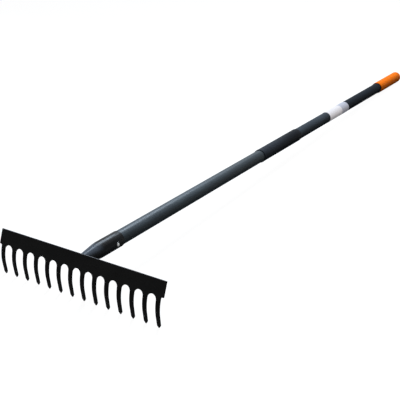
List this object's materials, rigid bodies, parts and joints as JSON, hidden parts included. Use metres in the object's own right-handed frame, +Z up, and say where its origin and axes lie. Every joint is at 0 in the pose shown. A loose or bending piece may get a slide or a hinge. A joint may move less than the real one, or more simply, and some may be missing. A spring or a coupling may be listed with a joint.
{
  "type": "garden rake",
  "caption": "Level-head garden rake: a flat steel bar with curved blunt tines on a tapered socket, riveted to a straight tube handle with a sleeve and an end grip.",
  "frame": {"origin": "on the ground under the middle of the rake's overall length and width, as it lies on the points of its tines and the end of its grip", "axes": "+X along the head's bar, +Y along the handle from the head to the grip (the handle's axis runs 2.0 degrees downhill from the head to the grip), +Z up from the ground"},
  "size_m": [0.36, 1.5396, 0.0843],
  "materials": {
    "rake_head": "matt black stoved paint, soil wear on the tines",
    "head_socket": "black stoved paint, slightly glossier than the head",
    "socket_weld": "weld bead under the same black paint",
    "socket_rivet": "bright plated rivet, domed heads",
    "lower_tube": "slate-grey satin coat",
    "upper_tube": "darker slate-grey satin coat",
    "joint_spigot": "plain drawn steel, out of sight",
    "lower_joint_pin": "slotted spring steel pin",
    "upper_joint_pin": "slotted spring steel pin",
    "joint_sleeve": "dark grey moulded plastic, no print",
    "tube_wrap": "white film with one plain grey-lavender band, no print",
    "end_grip": "orange moulded rubber-like plastic"
  },
  "bodies": {
    "root": {"rake_head": "rake_head", "head_socket": "head_socket", "socket_weld": "socket_weld", "socket_rivet": "socket_rivet", "lower_tube": "lower_tube", "upper_tube": "upper_tube", "joint_spigot": "joint_spigot", "lower_joint_pin": "lower_joint_pin", "upper_joint_pin": "upper_joint_pin", "joint_sleeve": "joint_sleeve", "tube_wrap": "tube_wrap", "end_grip": "end_grip"}
  },
  "joints": []
}
